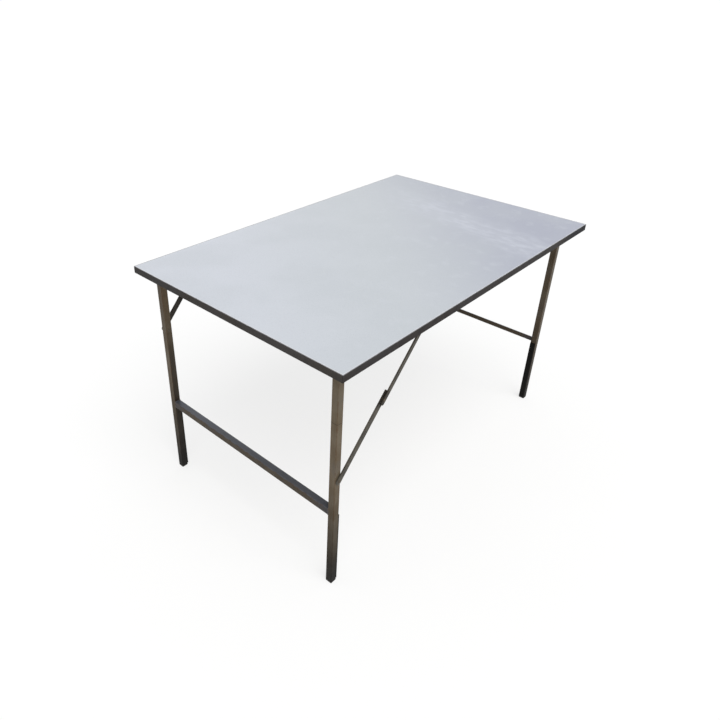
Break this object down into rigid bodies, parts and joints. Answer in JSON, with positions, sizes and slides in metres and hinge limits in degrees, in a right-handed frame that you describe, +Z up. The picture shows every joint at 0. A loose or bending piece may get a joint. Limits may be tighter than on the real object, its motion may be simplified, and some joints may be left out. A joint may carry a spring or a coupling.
{
  "type": "folding trestle table",
  "caption": "Rectangular laminated tabletop on two square-tube leg frames that fold flat under it and are held open by two-link folding stays.",
  "frame": {"origin": "on the floor, under the middle of the top", "axes": "+X along the long side towards the narrow leg frame, +Y along the short side away from the front edge, +Z up"},
  "size_m": [1.2, 0.76, 0.72],
  "materials": {
    "particle_board": "raw chipboard core",
    "grey_laminate": "satin light grey laminate",
    "backing_laminate": "plain brown balancing laminate",
    "edge_band": "dark charcoal edge band",
    "frame_steel": "worn satin bare steel with a brown tint",
    "stay_steel": "worn satin flat bar",
    "bracket_steel": "dark painted pressed plate",
    "fastener_steel": "dull zinc",
    "foot_plastic": "black moulded plastic",
    "buffer_rubber": "black rubber strip"
  },
  "bodies": {
    "tabletop": {"bracket_rivets": "fastener_steel", "edge_band_back": "edge_band", "edge_band_front": "edge_band", "edge_band_left": "edge_band", "edge_band_right": "edge_band", "narrow_hinge_bracket_far": "bracket_steel", "narrow_hinge_bracket_near": "bracket_steel", "narrow_long_bracket": "bracket_steel", "pivot_bolts": "fastener_steel", "pivot_nuts": "fastener_steel", "pivot_washers": "fastener_steel", "top_core": "particle_board", "top_laminate": "grey_laminate", "underside_backing": "backing_laminate", "wide_hinge_bracket_far": "bracket_steel", "wide_hinge_bracket_near": "bracket_steel", "wide_long_bracket": "bracket_steel", "wide_short_bracket": "bracket_steel", "wood_screws": "fastener_steel"},
    "wide_leg_frame": {"wide_foot_far": "foot_plastic", "wide_foot_near": "foot_plastic", "wide_leg_far": "frame_steel", "wide_leg_near": "frame_steel", "wide_leg_rivets": "fastener_steel", "wide_leg_washers": "fastener_steel", "wide_rail": "frame_steel", "wide_strip_far": "buffer_rubber", "wide_strip_near": "buffer_rubber"},
    "narrow_leg_frame": {"narrow_foot_far": "foot_plastic", "narrow_foot_near": "foot_plastic", "narrow_leg_far": "frame_steel", "narrow_leg_near": "frame_steel", "narrow_leg_rivets": "fastener_steel", "narrow_leg_washers": "fastener_steel", "narrow_rail": "frame_steel", "narrow_strip_far": "buffer_rubber", "narrow_strip_near": "buffer_rubber"},
    "wide_long_lower": {"wide_long_knuckle_stud": "fastener_steel", "wide_long_knuckle_washer": "fastener_steel", "wide_long_lower_link": "stay_steel"},
    "wide_long_upper": {"wide_long_knuckle_rivet": "fastener_steel", "wide_long_upper_link": "stay_steel"},
    "wide_short_lower": {"wide_short_knuckle_stud": "fastener_steel", "wide_short_knuckle_washer": "fastener_steel", "wide_short_lower_link": "stay_steel"},
    "wide_short_upper": {"wide_short_knuckle_rivet": "fastener_steel", "wide_short_upper_link": "stay_steel"},
    "narrow_long_lower": {"narrow_long_knuckle_stud": "fastener_steel", "narrow_long_knuckle_washer": "fastener_steel", "narrow_long_lower_link": "stay_steel"},
    "narrow_long_upper": {"narrow_long_knuckle_rivet": "fastener_steel", "narrow_long_upper_link": "stay_steel"}
  },
  "joints": [
    {"name": "wide_frame_fold", "type": "hinge", "parent": "tabletop", "child": "wide_leg_frame", "pos_m": [-0.552, 0, 0.682], "axis": [0, -1, 0], "range_deg": [0, 90]},
    {"name": "narrow_frame_fold", "type": "hinge", "parent": "tabletop", "child": "narrow_leg_frame", "pos_m": [0.586, 0, 0.682], "axis": [0, 1, 0], "range_deg": [0, 90]},
    {"name": "wide_long_lower_pivot", "type": "hinge", "parent": "wide_leg_frame", "child": "wide_long_lower", "pos_m": [-0.552, -0.341, 0.368], "axis": [0, -1, 0], "range_deg": [0, 42.97]},
    {"name": "wide_long_upper_pivot", "type": "hinge", "parent": "tabletop", "child": "wide_long_upper", "pos_m": [-0.26, -0.3462, 0.682], "axis": [0, 1, 0], "range_deg": [0, 47.13]},
    {"name": "wide_short_lower_pivot", "type": "hinge", "parent": "wide_leg_frame", "child": "wide_short_lower", "pos_m": [-0.552, 0.341, 0.52], "axis": [0, -1, 0], "range_deg": [0, 42.27]},
    {"name": "wide_short_upper_pivot", "type": "hinge", "parent": "tabletop", "child": "wide_short_upper", "pos_m": [-0.405, 0.3462, 0.682], "axis": [0, 1, 0], "range_deg": [0, 47.83]},
    {"name": "narrow_long_lower_pivot", "type": "hinge", "parent": "narrow_leg_frame", "child": "narrow_long_lower", "pos_m": [0.586, 0.316, 0.368], "axis": [0, 1, 0], "range_deg": [0, 42.97]},
    {"name": "narrow_long_upper_pivot", "type": "hinge", "parent": "tabletop", "child": "narrow_long_upper", "pos_m": [0.294, 0.3212, 0.682], "axis": [0, -1, 0], "range_deg": [0, 47.13]}
  ],
  "couplings": [
    {"joint": "wide_long_lower_pivot", "follows": "wide_frame_fold", "ratio": 0.4769},
    {"joint": "wide_long_upper_pivot", "follows": "wide_frame_fold", "ratio": 0.5231},
    {"joint": "wide_short_lower_pivot", "follows": "wide_frame_fold", "ratio": 0.46912},
    {"joint": "wide_short_upper_pivot", "follows": "wide_frame_fold", "ratio": 0.53088},
    {"joint": "narrow_long_lower_pivot", "follows": "narrow_frame_fold", "ratio": 0.4769},
    {"joint": "narrow_long_upper_pivot", "follows": "narrow_frame_fold", "ratio": 0.5231}
  ]
}
